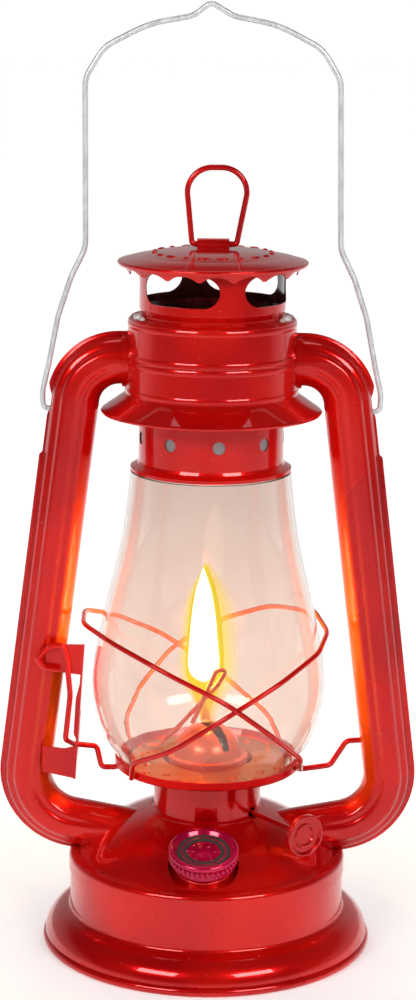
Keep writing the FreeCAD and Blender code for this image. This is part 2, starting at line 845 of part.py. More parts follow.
crown = size("crown_radius")
flue = size("flue_radius")
skirt_z = size("skirt_base_height")
skirt_blank = turned_shell("globe_skirt_blank", [
    (28.0, skirt_z),
    (28.5, skirt_z + 0.3),
    (28.5, skirt_z + 1.3),
    (crown + 0.4, skirt_z + 2.6),
    (crown, skirt_z + 3.6),
    (crown, 199.0),
])
vents = []
for i in range(9):
    angle = math.radians(-90 + 6.2 + 40 * i)
    way = Vector(math.cos(angle), math.sin(angle), 0)
    vents.append(cylinder(f"vent_{i}", 2.25, 6.0, facing(way * 22.0 + Vector(0, 0, 187.5), way)))
keep("globe_skirt", cut("globe_skirt_cut", skirt_blank, vents))

keep("chimney_tube", turned_solid("chimney_tube", [
    (flue - GAUGE, 184.4),
    (flue + 0.2, 184.4),
    (flue + 0.2, 198.8),
    (flue, 199.4),
    (flue, 230.7),
    (flue - GAUGE, 230.7),
]))

keep("spring_seat", turned_solid("spring_seat", [
    (flue, 206.6),
    (28.6, 206.6),
    (28.6, 207.1),
    (flue + 0.5, 207.1),
    (flue + 0.5, 209.0),
    (flue, 209.0),
]))

coil_pitch = 3.9
coil_height = 19.4
coil_path = Part.makeHelix(coil_pitch, coil_height, 27.0)
coil_path.translate(Vector(0, 0, 208.0))
coil_profile = Part.Wire([Part.Circle(Vector(27.0, 0, 208.0), Vector(0, 1, 0), 0.7).toShape()])
coil = Part.Wire(coil_path).makePipeShell([coil_profile], True, True)
keep("chimney_spring", feature("chimney_spring_coil", coil))

windows = []
for i in range(4):
    middle = -90 + 15.6 + 45 + 90 * i
    turn_window = Placement(Vector(0, 0, 240.8), Rotation(UP, middle))
    lying = turn_window.multiply(Placement(Vector(0, 0, 0), Rotation(Vector(0, 1, 0), 90)))
    windows.append(block(f"window_{i}", 10.6, 18.8, 32.0, lying))
    for j, reach in enumerate((-9.4, 9.4)):
        spot = lying.multiply(Placement(Vector(0, reach, 0), Rotation()))
        windows.append(cylinder(f"window_end_{i}_{j}", 5.3, 32.0, spot))
keep("chimney_crown", cut("chimney_crown_cut", turned_shell("chimney_crown_blank", [
    (flue, 230.7),
    (crown, 232.8),
    (crown, 250.2),
]), windows))

cap_r = size("cap_radius")
brim_z = size("cap_brim_height")
keep("chimney_cap", turned_shell("chimney_cap", [
    (cap_r - 0.3, brim_z - 0.6),
    (cap_r, brim_z, 0.8),
    (cap_r - 1.0, brim_z + 0.9, 40.0),
    (24.6, 251.2, 75.0),
    (6.5, "cap_top_height"),
    (0, "cap_top_height"),
]))

scallops = []
for i in range(16):
    angle = math.radians(-90 - 8.7 + 11.25 + 22.5 * i)
    way = Vector(math.cos(angle), math.sin(angle), 0)
    scallops.append(cylinder(f"scallop_{i}", 7.7, 12.0, facing(way * 26.0 + Vector(0, 0, 239.2), way)))
keep("cap_skirt", cut("cap_skirt_cut", turned_shell("cap_skirt_blank", [
    (29.7, 244.9),
    (31.4, 248.7),
]), scallops))

strap_z = size("ring_pivot_height")
loop_inside = 1.4
loop_outside = 1.9
strap_body, strap_sketch = sketch_body("ring_strap", "YZ_Plane", solid_corners([
    (-6.0, 253.23),
    (-loop_inside, 253.23),
    (-loop_inside, strap_z, -loop_inside),
    (0, strap_z + loop_inside, -loop_inside),
    (loop_inside, strap_z),
    (loop_inside, 253.23),
    (6.0, 253.23),
    (6.0, 253.8),
    (loop_outside, 253.8),
    (loop_outside, strap_z, loop_outside),
    (0, strap_z + loop_outside, loop_outside),
    (-loop_outside, strap_z),
    (-loop_outside, 253.8),
    (-6.0, 253.8),
]))
strap_pad = strap_body.newObject("PartDesign::Pad", "ring_strap_pad")
strap_pad.Profile = strap_sketch
strap_pad.Length = 11.2
strap_pad.Midplane = True
keep("ring_strap", strap_body)

ring_low = dim("ring_pivot_height")
ring_high = dim("ring_top_height")
bent_wire("lift_ring", [
    (0.6, 0, ring_low, 0),
    (8.1, 0, ring_low, 1.2),
    (13.2, 0, ring_high, 8.6),
    (-10.0, 0, ring_high, 8.6),
    (-7.4, 0, ring_low, 1.2),
], closed=True)

# ---------------------------------------------------------------- hood

hood_blank = turned_shell("hood_shell_blank", hood_outline)
keep("hood_shell", cut("hood_shell_cut", hood_blank, [bores["left"], bores["right"]]))

hood_holes = []
for i in range(24):
    angle = math.radians(15 * i)
    spot = Vector(27.1 * math.cos(angle), 27.1 * math.sin(angle), dim("hood_top_height") - 2)
    hood_holes.append(cylinder(f"hood_hole_{i}", 0.9, 4.0, Placement(spot, Rotation())))
keep("hood_top", cut("hood_top_cut", turned_solid("hood_top_blank", [
    (flue + 0.35, hood_z - GAUGE),
    (hood_top - 1.35, hood_z - GAUGE),
    (hood_top - 1.35, hood_z),
    (flue + 0.35, hood_z),
]), hood_holes))

keep("hood_guide", turned_solid("hood_guide", [
    (crown + 0.4, 198.0),
    (crown + 0.9, 198.0),
    (crown + 0.9, 203.4),
    (hood - 0.55, 203.4),
    (hood - 0.55, 203.9),
    (crown + 0.4, 203.9),
]))

# ---------------------------------------------------------------- bail

half = dim("bail_half_width")
right_side = [
    (53.4, 0, pivot_z, 0),
    (59.3, 0, pivot_z, 1.9),
    (59.5, 0, 202.5, 12.0),
    (57.3, 0, 212.0, 30.0),
    (53.8, 0, 229.5, 30.0),
    (49.3, 0, 243.0, 20.0),
    (half + 0.3, 0, 253.0, 12.0),
    (half - 1.0, 0, 311.0, 10.0),
    (half - 7.4, 0, 321.6, 14.0),
    (21.0, 0, 329.6, 40.0),
    (6.2, 0, 332.2, 10.0),
]
top = [(-1.6, 0, dim("bail_top_height") + 0.4, 2.6)]
lean = 1.4
left_side = [
    (-x - lean * (z > 300), y, z, bend) for x, y, z, bend in right_side[::-1]
]
bent_wire("bail", right_side + top + left_side)

# ---------------------------------------------------------------- check and write

doc.recompute()
for item in doc.Objects:
    if "Invalid" in item.State or "Error" in item.State:
        raise RuntimeError(f"{item.Label} failed: {item.State}")
for label, item in nodes.items():
    if item.Shape.isNull() or not item.Shape.isValid():
        raise RuntimeError(f"{label} has no valid shape")

os.makedirs("parts", exist_ok=True)
for label, item in nodes.items():
    item.Shape.exportStep(f"parts/{label}.step")
    box = item.Shape.BoundBox
    print(f"{label}: solids {len(item.Shape.Solids)}, volume {item.Shape.Volume:.0f}, "
          f"x {box.XMin:.1f} {box.XMax:.1f}, y {box.YMin:.1f} {box.YMax:.1f}, "
          f"z {box.ZMin:.1f} {box.ZMax:.1f}")
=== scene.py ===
"""Oil lamp: enamel, glass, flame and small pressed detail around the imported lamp.

Metres, +Z up, the front of the lamp towards -Y.
"""
import json
import math

import bmesh
import bpy
from mathutils import Matrix, Vector

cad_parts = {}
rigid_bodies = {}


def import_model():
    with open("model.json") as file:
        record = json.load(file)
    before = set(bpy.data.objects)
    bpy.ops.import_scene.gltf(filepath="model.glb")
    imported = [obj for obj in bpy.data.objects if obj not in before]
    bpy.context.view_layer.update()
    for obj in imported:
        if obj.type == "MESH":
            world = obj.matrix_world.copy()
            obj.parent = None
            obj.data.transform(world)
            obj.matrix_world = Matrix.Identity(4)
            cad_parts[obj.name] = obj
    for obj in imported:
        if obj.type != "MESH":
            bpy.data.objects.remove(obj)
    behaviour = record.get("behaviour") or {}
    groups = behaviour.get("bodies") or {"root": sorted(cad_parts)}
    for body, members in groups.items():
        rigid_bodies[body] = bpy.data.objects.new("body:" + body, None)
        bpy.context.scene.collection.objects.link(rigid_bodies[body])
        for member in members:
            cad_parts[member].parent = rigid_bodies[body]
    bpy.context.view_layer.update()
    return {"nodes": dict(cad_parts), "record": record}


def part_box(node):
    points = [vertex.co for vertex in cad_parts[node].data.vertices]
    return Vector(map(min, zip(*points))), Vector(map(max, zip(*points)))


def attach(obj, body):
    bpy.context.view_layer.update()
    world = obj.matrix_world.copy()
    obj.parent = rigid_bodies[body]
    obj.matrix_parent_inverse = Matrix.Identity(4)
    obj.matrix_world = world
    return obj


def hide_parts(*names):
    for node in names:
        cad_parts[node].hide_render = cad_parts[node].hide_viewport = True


MM = 0.001

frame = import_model()
NODES = frame["nodes"]


# ---------------------------------------------------------------- node helpers

class Shader:
    """A material with its node tree and a few shortcuts for wiring procedural detail."""

    def __init__(self, name):
        self.material = bpy.data.materials.new(name)
        self.material.use_nodes = True
        self.tree = self.material.node_tree
        self.surface = self.tree.nodes["Principled BSDF"]
        self.place = self.add("ShaderNodeTexCoord").outputs["Object"]

    def add(self, kind, **values):
        node = self.tree.nodes.new(kind)
        for name, value in values.items():
            setattr(node, name, value)
        return node

    def link(self, output, socket):
        self.tree.links.new(output, socket)

    def set(self, **values):
        """Set the shader's own sockets; an underscore in a name stands for a space."""
        for name, value in values.items():
            self.surface.inputs[name.replace("_", " ")].default_value = value

    def noise(self, scale, detail=3.0, stretch=(1, 1, 1)):
        mapping = self.add("ShaderNodeMapping")
        mapping.inputs["Scale"].default_value = stretch
        self.link(self.place, mapping.inputs["Vector"])
        node = self.add("ShaderNodeTexNoise")
        node.inputs["Scale"].default_value = scale
        node.inputs["Detail"].default_value = detail
        self.link(mapping.outputs["Vector"], node.inputs["Vector"])
        return node.outputs["Fac"]

    def spread(self, value, low, high, to_low, to_high):
        """Map a value from one range to another, clamped."""
        node = self.add("ShaderNodeMapRange")
        self.link(value, node.inputs["Value"])
        for name, number in (("From Min", low), ("From Max", high), ("To Min", to_low), ("To Max", to_high)):
            node.inputs[name].default_value = number
        return node.outputs["Result"]

    def combine(self, operation, first, second):
        """A math node on two outputs, such as MULTIPLY or ADD."""
        node = self.add("ShaderNodeMath", operation=operation)
        self.link(first, node.inputs[0])
        self.link(second, node.inputs[1])
        return node.outputs[0]

    def mix(self, factor, first, second):
        """Mix two colours; each is a colour or an output."""
        node = self.add("ShaderNodeMix", data_type="RGBA")
        self.link(factor, node.inputs["Factor"])
        for socket, colour in ((node.inputs[6], first), (node.inputs[7], second)):
            if isinstance(colour, tuple):
                socket.default_value = (*colour, 1.0)
            else:
                self.link(colour, socket)
        return node.outputs[2]

    def axis_value(self, axis):
        node = self.add("ShaderNodeSeparateXYZ")
        self.link(self.place, node.inputs[0])
        return node.outputs[axis]

    def from_axis(self):
        """The level line to a point from the lamp's vertical axis."""
        flat = self.add("ShaderNodeVectorMath", operation="MULTIPLY")
        flat.inputs[1].default_value = (1, 1, 0)
        self.link(self.place, flat.inputs[0])
        return flat.outputs[0]

    def reach(self):
        """The distance of a point from the lamp's vertical axis."""
        length = self.add("ShaderNodeVectorMath", operation="LENGTH")
        self.link(self.from_axis(), length.inputs[0])
        return length.outputs["Value"]

    def facing_out(self):
        """Above zero where a surface looks away from the lamp's vertical axis, in metres."""
        dot = self.add("ShaderNodeVectorMath", operation="DOT_PRODUCT")
        self.link(self.from_axis(), dot.inputs[0])
        self.link(self.add("ShaderNodeTexCoord").outputs["Normal"], dot.inputs[1])
        return dot.outputs["Value"]

    def bump(self, height, depth, strength=1.0):
        node = self.add("ShaderNodeBump")
        node.inputs["Distance"].default_value = depth
        node.inputs["Strength"].default_value = strength
        self.link(height, node.inputs["Height"])
        self.link(node.outputs["Normal"], self.surface.inputs["Normal"])


# ---------------------------------------------------------------- materials

def enamel(name, bright, deep, inside=None, flame_glow=None, bare_below=None, painted_firelight_height=None):
    """Candy enamel over tinned steel: an uneven coat, orange peel and a few pale specks.

    Surfaces that face the lamp's axis take the two inside colours: near black on the flue pieces, and a
    painted glow of the flame's light on the guard wires. A painted flame glow is a reach from the axis and
    two
    colours: within it the enamel takes a painted coppery glow of the flame's light. Below bare_below the
    tinned steel is left plain. About a painted firelight height, the side that faces the axis takes a painted
    warm glow of the flame's light."""
    shader = Shader(name)
    cloud = shader.noise(28.0, detail=1.0)
    colour = shader.mix(shader.spread(cloud, 0.35, 0.68, 0, 1), deep, bright)
    speck = shader.noise(1500.0, detail=1.0)
    colour = shader.mix(shader.spread(speck, 0.77, 0.80, 0, 0.5), colour, (0.85, 0.45, 0.40))
    # Painted light: within the given reach of the axis the enamel takes a painted coppery glow of the flame's
    # light.
    if flame_glow is not None:
        flame_glow_reach, dark, light = flame_glow
        near = shader.spread(shader.reach(), flame_glow_reach - 1.5 * MM, flame_glow_reach, 1, 0)
        colour = shader.mix(near, colour, shader.mix(shader.spread(cloud, 0.3, 0.7, 0, 1), dark, light))
    # Painted light: about the given height, the side that faces the axis takes a painted warm glow of the
    # flame's light.
    if painted_firelight_height is not None:
        from_below = shader.spread(shader.axis_value(2), painted_firelight_height - 75 * MM, painted_firelight_height - 10 * MM, 0, 1)
        from_above = shader.spread(shader.axis_value(2), painted_firelight_height + 10 * MM, painted_firelight_height + 65 * MM, 1, 0)
        inner_side = shader.spread(shader.facing_out(), -45 * MM, -8 * MM, 1, 0)
        glow = shader.combine("MULTIPLY", shader.combine("MULTIPLY", inner_side, from_below), from_above)
        colour = shader.mix(glow, colour, (0.85, 0.15, 0.01))
    if bare_below is not None:
        bare = shader.spread(shader.axis_value(2), bare_below, bare_below + 1 * MM, 1, 0)
        colour = shader.mix(bare, colour, shader.mix(cloud, (0.16, 0.13, 0.13), (0.40, 0.35, 0.35)))
    # Faces towards the axis take the inside colours: near black on the flue pieces, a painted glow of the
    # flame's light on the guard wires.
    if inside is not None:
        inner = shader.spread(shader.facing_out(), -4 * MM, 4 * MM, 1, 0)
        smear = shader.noise(140.0)
        colour = shader.mix(inner, colour, shader.mix(shader.spread(smear, 0.3, 0.7, 0, 1), *inside))
    shader.link(colour, shader.surface.inputs["Base Color"])
    shader.link(shader.spread(cloud, 0.3, 0.7, 0.22, 0.32), shader.surface.inputs["Roughness"])
    shader.set(Metallic=0.45, Coat_Weight=0.75, Coat_Roughness=0.03, Coat_IOR=1.5, Specular_IOR_Level=0.05)
    shader.bump(shader.noise(420.0, detail=2.0), 0.00006, 0.35)
    return shader.material


def flamelit_enamel(name, bright, deep, edge, dark, light):
    """Enamel with a metallic gloss and, nearer to the axis than an edge, a painted coppery glow of the
    flame's light.
    """
    material = enamel(name, bright, deep, flame_glow=(edge, dark, light))
    surface = material.node_tree.nodes["Principled BSDF"]
    surface.inputs["Metallic"].default_value = 0.85
    surface.inputs["Coat Weight"].default_value = 0.1
    return material


def galvanised(name):
    """Zinc-coated wire: fine lengthwise draw marks and dull patches."""
    shader = Shader(name)
    patch = shader.noise(700.0, detail=4.0, stretch=(1, 1, 0.4))
    colour = shader.mix(shader.spread(patch, 0.3, 0.7, 0, 1), (0.62, 0.64, 0.65), (0.80, 0.82, 0.83))
    shader.link(colour, shader.surface.inputs["Base Color"])
    shader.link(shader.spread(patch, 0.3, 0.7, 0.32, 0.46), shader.surface.inputs["Roughness"])
    shader.set(Metallic=0.5)
    shader.bump(shader.noise(900.0, detail=3.0, stretch=(1, 1, 0.15)), 0.00008, 0.4)
    return shader.material


def tinned(name):
    """Plain tinned steel of the hidden burner pieces, dulled by heat."""
    shader = Shader(name)
    patch = shader.noise(120.0, detail=5.0)
    colour = shader.mix(shader.spread(patch, 0.3, 0.7, 0, 1), (0.20, 0.15, 0.11), (0.46, 0.43, 0.39))
    shader.link(colour, shader.surface.inputs["Base Color"])
    shader.link(shader.spread(patch, 0.3, 0.7, 0.30, 0.5), shader.surface.inputs["Roughness"])
    shader.set(Metallic=1.0)
    shader.bump(patch, 0.0001, 0.3)
    return shader.material


def solder(name):
    """Dull grey solder with a pitted skin."""
    shader = Shader(name)
    patch = shader.noise(700.0, detail=4.0)
    colour = shader.mix(shader.spread(patch, 0.35, 0.65, 0, 1), (0.45, 0.43, 0.42), (0.80, 0.78, 0.77))
    shader.link(colour, shader.surface.inputs["Base Color"])
    shader.link(shader.spread(patch, 0.3, 0.7, 0.3, 0.55), shader.surface.inputs["Roughness"])
    shader.set(Metallic=0.25)
    shader.bump(patch, 0.0003, 0.5)
    return shader.material


def blown_glass(name):
    """Clear blown glass with faint ripples and a thin warm tint, darker towards the top."""
    shader = Shader(name)
    haze = shader.noise(18.0, detail=2.0, stretch=(1, 1, 0.35))
    low = shader.mix(shader.spread(haze, 0.3, 0.7, 0, 1), (0.92, 0.78, 0.72), (0.96, 0.85, 0.79))
    high = shader.mix(shader.spread(haze, 0.3, 0.7, 0, 1), (0.79, 0.67, 0.62), (0.87, 0.77, 0.72))
    colour = shader.mix(shader.spread(shader.axis_value(2), 120 * MM, 165 * MM, 0, 1), low, high)
    shader.link(colour, shader.surface.inputs["Base Color"])
    shader.link(shader.spread(haze, 0.3, 0.7, 0.0, 0.012), shader.surface.inputs["Roughness"])
    shader.set(Transmission_Weight=0.975, IOR=1.5)
    shader.bump(shader.noise(32.0, detail=1.0, stretch=(1, 1, 0.4)), 0.0005, 0.2)
    return shader.material


def woven_cotton(name, char_height):
    """Woven cotton wick, charred above a height."""
    shader = Shader(name)
    weave = shader.add("ShaderNodeTexWave", bands_direction="Z", wave_type="BANDS")
    weave.inputs["Scale"].default_value = 420.0
    weave.inputs["Distortion"].default_value = 1.5
    shader.link(shader.place, weave.inputs["Vector"])
    thread = shader.mix(weave.outputs["Fac"], (0.50, 0.45, 0.34), (0.86, 0.82, 0.72))
    char = shader.spread(shader.axis_value(2), char_height - 3 * MM, char_height, 0, 1)
    colour = shader.mix(char, thread, (0.015, 0.012, 0.010))
    shader.link(colour, shader.surface.inputs["Base Color"])
    shader.set(Roughness=0.9, Sheen_Weight=0.2)
    shader.bump(weave.outputs["Fac"], 0.0002, 0.6)
    return shader.material


def seal_rubber(name):
    shader = Shader(name)
    grain = shader.noise(1200.0, detail=4.0)
    colour = shader.mix(grain, (0.02, 0.018, 0.016), (0.06, 0.055, 0.05))
    shader.link(colour, shader.surface.inputs["Base Color"])
    shader.link(shader.spread(grain, 0.3, 0.7, 0.6, 0.8), shader.surface.inputs["Roughness"])
    shader.bump(grain, 0.0001, 0.5)
    return shader.material


def flame_layer(name, low_colour, high_colour, low, high, strength, cover):
    """One skin of the flame: it glows, and covers what is behind it by a share at its foot and tip."""
    shader = Shader(name)
    tree = shader.tree
    tree.nodes.remove(shader.surface)
    rise = shader.spread(shader.axis_value(2), low, high, 0, 1)
    glow = shader.add("ShaderNodeEmission")
    shader.link(shader.mix(rise, low_colour, high_colour), glow.inputs["Color"])
    glow.inputs["Strength"].default_value = strength
    clear = shader.add("ShaderNodeBsdfTransparent")
    blend = shader.add("ShaderNodeMixShader")
    shader.link(shader.spread(rise, 0.0, 1.0, *cover), blend.inputs["Fac"])
    shader.link(clear.outputs[0], blend.inputs[1])
    shader.link(glow.outputs[0], blend.inputs[2])
    shader.link(blend.outputs[0], tree.nodes["Material Output"].inputs["Surface"])
    return shader.material


def pale_floor(name):
    """A pale floor that glows more towards the back, so that it meets the backdrop with no edge."""
    shader = Shader(name)
    grain = shader.noise(9.0, detail=4.0)
    colour = shader.mix(grain, (0.91, 0.91, 0.91), (0.95, 0.95, 0.95))
    # Painted shade: the floor is painted darker in front of the lamp.
    in_front = shader.spread(shader.axis_value(1), -0.9, -0.15, 0.55, 0.0)
    colour = shader.mix(in_front, colour, (0.40, 0.40, 0.40))
    shader.link(colour, shader.surface.inputs["Base Color"])
    middle = shader.spread(shader.axis_value(1), -0.35, 0.25, 0.08, 0.55)
    back = shader.spread(shader.axis_value(1), 0.25, 1.3, 0.0, 0.25)
    shader.link(shader.combine("ADD", middle, back), shader.surface.inputs["Emission Strength"])
    shader.set(Emission_Color=(1, 1, 1, 1))
    shader.link(shader.spread(grain, 0.3, 0.7, 0.7, 0.8), shader.surface.inputs["Roughness"])
    shader.set(Specular_IOR_Level=0.1)
    return shader.material


RED_BRIGHT = (0.70, 0.006, 0.003)
RED_DEEP = (0.50, 0.001, 0.002)
# Painted light: the coppery colours and the reach of a painted glow of the flame's light on the burner cone,
# its clip, the catch wire and the globe plate.
COPPERY = ((0.50, 0.07, 0.02), (0.62, 0.11, 0.035))
FLAME_GLOW_REACH = 30 * MM
# Near black for the faces of the crown, skirt and flue tube that look towards the axis.
DARK_INSIDE = ((0.035, 0.008, 0.008), (0.085, 0.03, 0.03))
# Painted light: a warm glow of the flame's light, painted on the guard wires' inner faces.
PAINTED_FIRELIGHT = ((0.62, 0.10, 0.02), (0.80, 0.20, 0.04))
RED = enamel("red_enamel", RED_BRIGHT, RED_DEEP)
INNER_DARK_RED = enamel("inner_dark_red_enamel", RED_BRIGHT, RED_DEEP, inside=DARK_INSIDE)
FLUE_RED = enamel("flue_red_enamel", RED_BRIGHT, RED_DEEP, inside=DARK_INSIDE, bare_below=199 * MM)
WIRE_RED = enamel("wire_red_enamel", RED_BRIGHT, RED_DEEP, inside=PAINTED_FIRELIGHT)
FLAMELIT_CONE = enamel("flamelit_cone_enamel", RED_BRIGHT, RED_DEEP, flame_glow=(FLAME_GLOW_REACH, *COPPERY))
FLAMELIT_PLATE = flamelit_enamel(
    "flamelit_plate_enamel", RED_BRIGHT, RED_DEEP, FLAME_GLOW_REACH, (0.45, 0.15, 0.06), (0.74, 0.30, 0.13))
# The tubes take a painted warm glow of the flame's light on their inner sides.
TUBE_RED = enamel("tube_red_enamel", RED_BRIGHT, RED_DEEP, painted_firelight_height=115 * MM)
CRIMSON = enamel("crimson_enamel", (0.66, 0.004, 0.075), (0.42, 0.002, 0.04))
ZINC = galvanised("zinc_wire")
TIN = tinned("tinned_steel")
GLASS = blown_glass("clear_glass")
WICK_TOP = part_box("wick")[1].z
COTTON = woven_cotton("cotton_wick", WICK_TOP)
SEAL = seal_rubber("seal_rubber")
SOLDER = solder("solder_grey")

SLOT_MATERIALS = {
    "red_enamel": RED,
    "crimson_enamel": CRIMSON,
    "zinc_steel": ZINC,
    "burner_metal": TIN,
    "clear_glass": GLASS,
    "cotton": COTTON,
    "seal": SEAL,
}


def paint(item, material):
    item.data.materials.clear()
    item.data.materials.append(material)


for entry in frame["record"]["subparts"]:
    paint(NODES[entry["node"]], SLOT_MATERIALS[entry["material_slot"]])
# The crown and skirt are near black on their faces towards the axis.
for inner_dark_part in ("chimney_crown", "globe_skirt"):
    paint(NODES[inner_dark_part], INNER_DARK_RED)
paint(NODES["chimney_tube"], FLUE_RED)
# The guard wires' inner faces take a painted glow of the flame's light.
for wire in ("guard_wire_left", "guard_wire_right"):
    paint(NODES[wire], WIRE_RED)
# These pieces take a painted coppery glow of the flame's light near the axis.
for flamelit_part in ("cone_catch_wire", "burner_cone", "cone_clip"):
    paint(NODES[flamelit_part], FLAMELIT_CONE)
paint(NODES["globe_plate"], FLAMELIT_PLATE)
NODES["globe"].visible_shadow = False


# ---------------------------------------------------------------- mesh helpers

def piece(name, mesh, material, body):
    """Make an object from a mesh that rides on a body of the lamp."""
    item = bpy.data.objects.new(name, mesh)
    bpy.context.scene.collection.objects.link(item)
    for face in mesh.polygons:
        face.use_smooth = True
    paint(item, material)
    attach(item, body)
    return item


def mesh_from(name, points, faces):
    mesh = bpy.data.meshes.new(name)
    mesh.from_pydata(points, [], faces)
    mesh.validate()
    mesh.update()
    return mesh


def ring_faces(rings, count):
    """Quads between rings of count points each."""
    faces = []
    for i in range(rings - 1):
        base = i * count
        above = (i + 1) * count
        for j in range(count):
            k = (j + 1) % count
            faces.append((base + j, base + k, above + k, above + j))
    return faces


def lathe(name, outline, segments, place=Matrix.Identity(4)):
    """Turn an outline of (radius, height) about Z and put the result in place."""
    points = []
    for radius, height in outline:
        for j in range(segments):
            angle = 2 * math.pi * j / segments
            points.append(place @ Vector((radius * math.cos(angle), radius * math.sin(angle), height)))
    return mesh_from(name, points, ring_faces(len(outline), segments))


def blobs(name, places, rows=6, segments=10):
    """One mesh of squashed balls; each place is a matrix that shapes a unit ball."""
    points = []
    faces = []
    for place in places:
        start = len(points)
        for i in range(rows + 1):
            tilt = math.pi * i / rows
            for j in range(segments):
                turn = 2 * math.pi * j / segments
                wide = math.sin(tilt)
                spot = Vector((wide * math.cos(turn), wide * math.sin(turn), math.cos(tilt)))
                points.append(place @ spot)
        faces += [tuple(start + k for k in face) for face in ring_faces(rows + 1, segments)]
    mesh = mesh_from(name, points, faces)
    tidy = bmesh.new()
    tidy.from_mesh(mesh)
    bmesh.ops.remove_doubles(tidy, verts=tidy.verts, dist=1e-7)
    bmesh.ops.recalc_face_normals(tidy, faces=tidy.faces)
    tidy.to_mesh(mesh)
    tidy.free()
    return mesh


def rounded_route(corners, step=1.2 * MM):
    """Points along straight runs joined by tangent arcs; each corner is (x, z, bend)."""
    spots = [Vector((x, z)) for x, z, bend in corners]
    line = [spots[0]]
    for i in range(1, len(corners) - 1):
        before = (spots[i - 1] - spots[i]).normalized()
        after = (spots[i + 1] - spots[i]).normalized()
        half = before.angle(after) / 2
        bend = corners[i][2]
        cut = bend / math.tan(half)
        start = spots[i] + before * cut
        end = spots[i] + after * cut
        centre = spots[i] + (before + after).normalized() * (bend / math.sin(half))
        sweep = (start - centre).angle_signed(end - centre)
        count = max(2, int(abs(sweep) * bend / step))
        line += straight(line[-1], start, step)
        for k in range(1, count + 1):
            turn = Matrix.Rotation(-sweep * k / count, 2)
            line.append(centre + turn @ (start - centre))
    line += straight(line[-1], spots[-1], step)
    return line


def straight(start, end, step):
    count = max(1, int((end - start).length / step))
    return [start.lerp(end, k / count) for k in range(1, count + 1)]


# ---------------------------------------------------------------- side tubes

TUBE_RADIUS = 8.45 * MM
TUBE_ROUTE = [(26, 214, 0), (46.1, 214, 15.7), (67.4, 47.3, 19.6), (22, 38.8, 0)]
TUBE_MIDDLE = 100 * MM
SEAM_REACH = 10.2 * MM
SEAM_HALF_ANGLE = 5.0
RIB_FEATURES = [(18, -0.25, 6), (32, 0.22, 8), (50, -0.45, 7), (66, 0.36, 9), (106, -0.42, 7), (122, 0.28, 9)]
RIB_FADE_TOP = (31 * MM, 7 * MM)
RIB_FADE_FOOT = (38 * MM, 12 * MM)
SEAM_LEVELS = [(0, 1.0), (179, 1.0), (180, 0.45), (194, 0.45), (195, 0.0), (201, 0.0), (202, 1.0), (230, 1.0)]


def seam_level(height):
    """How far the seam stands up at a height: it is cut away round the bail's hole."""
    for (low, low_level), (high, high_level) in zip(SEAM_LEVELS, SEAM_LEVELS[1:]):
        if height < high:
            return low_level + (high_level - low_level) * (height - low) / (high - low)
    return 1.0


def tube_section(angle, depth, seam):
    """The radius of the pressed tube at an angle from its outer side; depth fades the ribs."""
    away = abs(angle)
    radius = TUBE_RADIUS
    for middle, height, width in RIB_FEATURES:
        radius += depth * height * MM * math.exp(-((away - middle) / width) ** 2)
    if away < SEAM_HALF_ANGLE:
        radius = TUBE_RADIUS + seam * (SEAM_REACH - TUBE_RADIUS) * (1 - (away / SEAM_HALF_ANGLE) ** 6)
    return radius


def side_tube(side, name):
    """A ribbed tube with its folded seam along the outer side; the ribs fade out at its ends."""
    line = rounded_route([(x * MM, z * MM, bend * MM) for x, z, bend in TUBE_ROUTE])
    angles = []
    angle = -180.0
    while angle < 180.0:
        angles.append(angle)
        angle += 1.0 if abs(angle) < 8 else 3.0
    points = []
    for i, spot in enumerate(line):
        ahead = line[min(i + 1, len(line) - 1)] - line[max(i - 1, 0)]
        outward = Vector((-ahead.y, ahead.x)).normalized()
        fade_start, fade_length = RIB_FADE_TOP if spot.y > TUBE_MIDDLE else RIB_FADE_FOOT
        depth = min(1.0, max(0.0, (spot.x - fade_start) / fade_length))
        for degrees in angles:
            turn = math.radians(degrees)
            radius = tube_section(degrees, depth, seam_level(spot.y / MM))
            flat = spot + outward * radius * math.cos(turn)
            points.append(Vector((side * flat.x, side * radius * math.sin(turn), flat.y)))
    faces = ring_faces(len(line), len(angles))
    tube = piece(f"{name}_pressing", mesh_from(name, points, faces), TUBE_RED, "root")
    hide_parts(name)


side_tube(-1, "side_tube_left")
side_tube(1, "side_tube_right")

# ---------------------------------------------------------------- filler cap

FILLER_TILT = math.radians(17)
FILLER_SPOT = Vector((-1.0, -39.5, 48.0)) * MM
FILLER_PLACE = Matrix.Translation(FILLER_SPOT) @ Matrix.Rotation(FILLER_TILT, 4, "X")


